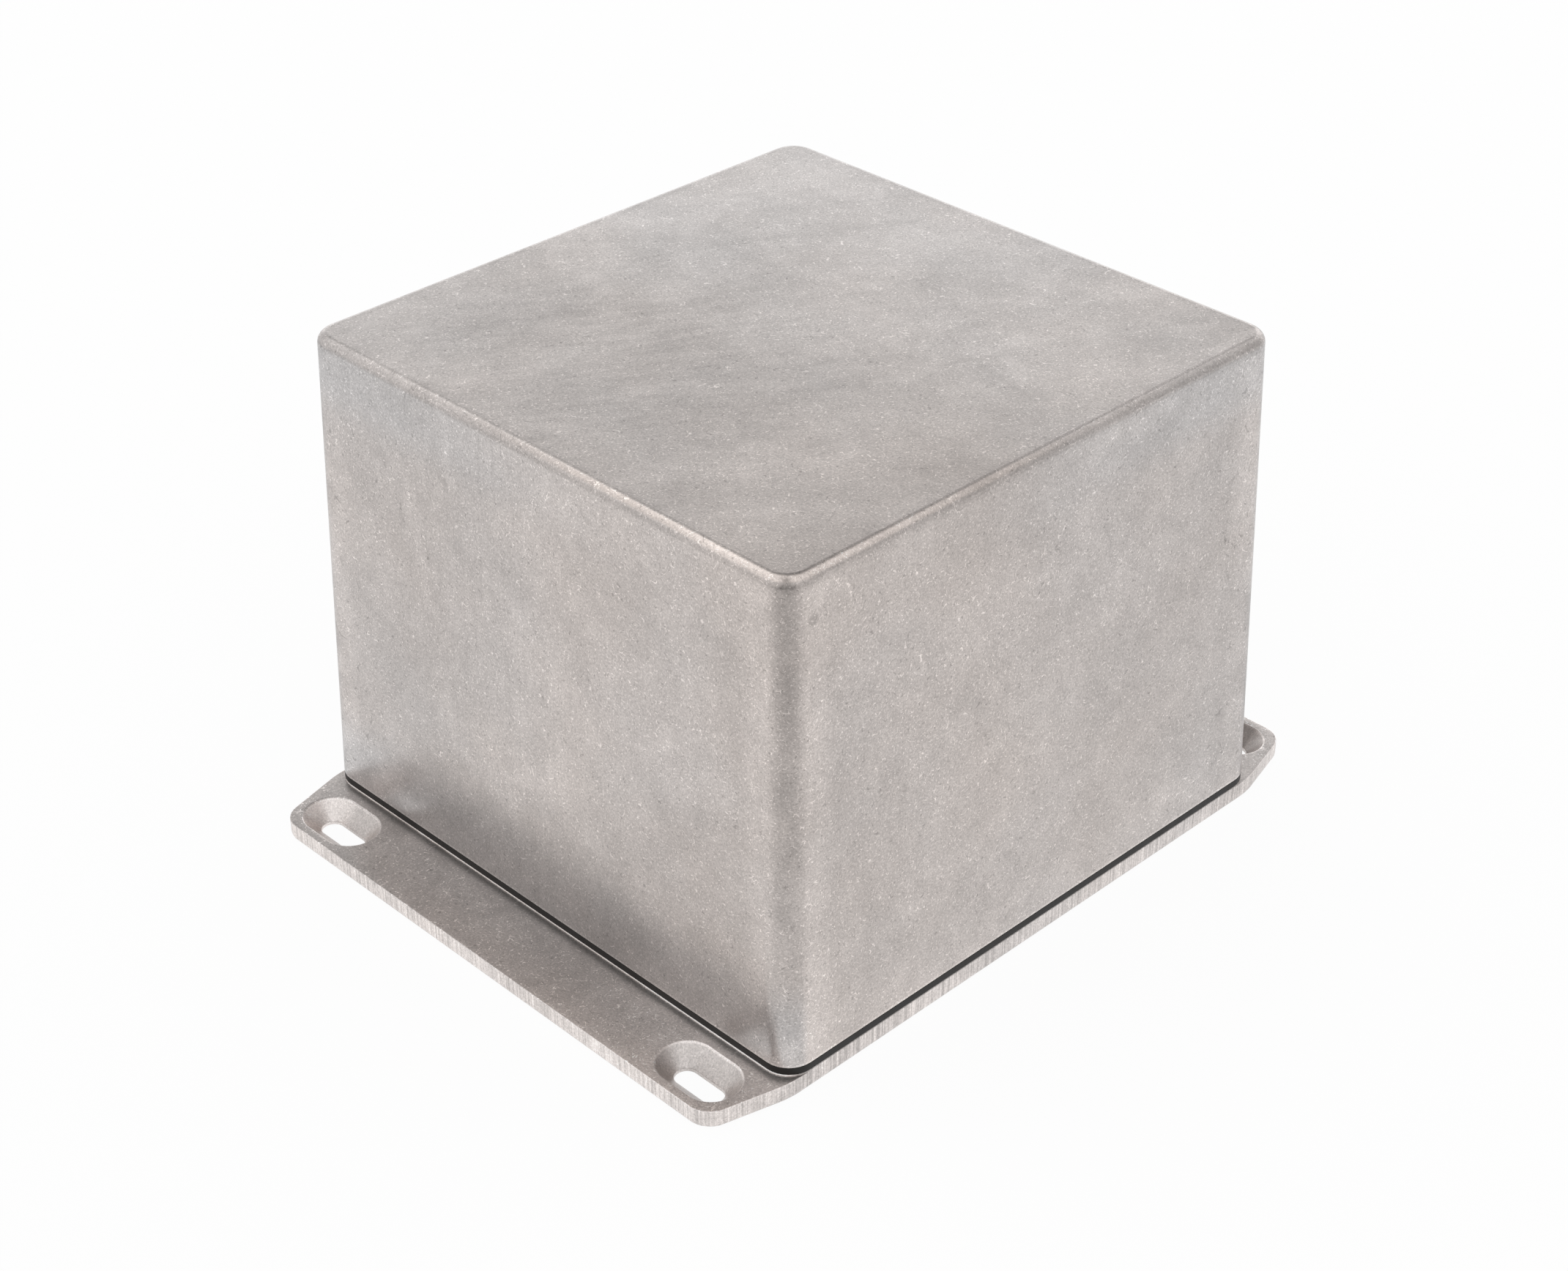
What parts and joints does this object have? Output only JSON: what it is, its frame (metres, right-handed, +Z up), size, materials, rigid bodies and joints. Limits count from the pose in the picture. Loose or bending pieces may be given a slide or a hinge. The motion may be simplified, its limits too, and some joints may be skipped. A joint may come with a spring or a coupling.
{
  "type": "die cast enclosure",
  "caption": "Sealed die cast aluminium box with drafted walls, a flat gasket and a flanged lid that mounts through countersunk slots, to house a circuit module.",
  "frame": {"origin": "centre of the lid's underside, the face that lies on the mounting surface", "axes": "+Z up from the mounting surface towards the closed top of the body, +Y along the direction in which the flanges reach out"},
  "size_m": [0.12, 0.1492, 0.0955],
  "materials": {
    "cast_body": "tumbled raw casting, satin grey with fine scratches and cloudy patches",
    "cast_lid": "tumbled raw casting with linished edges",
    "gasket_rubber": "matt black",
    "screw_steel": "plain steel"
  },
  "bodies": {
    "root": {"body_casting": "cast_body", "flanged_lid": "cast_lid", "gasket": "gasket_rubber", "lid_screw_1": "screw_steel", "lid_screw_2": "screw_steel", "lid_screw_3": "screw_steel", "lid_screw_4": "screw_steel"}
  },
  "joints": []
}
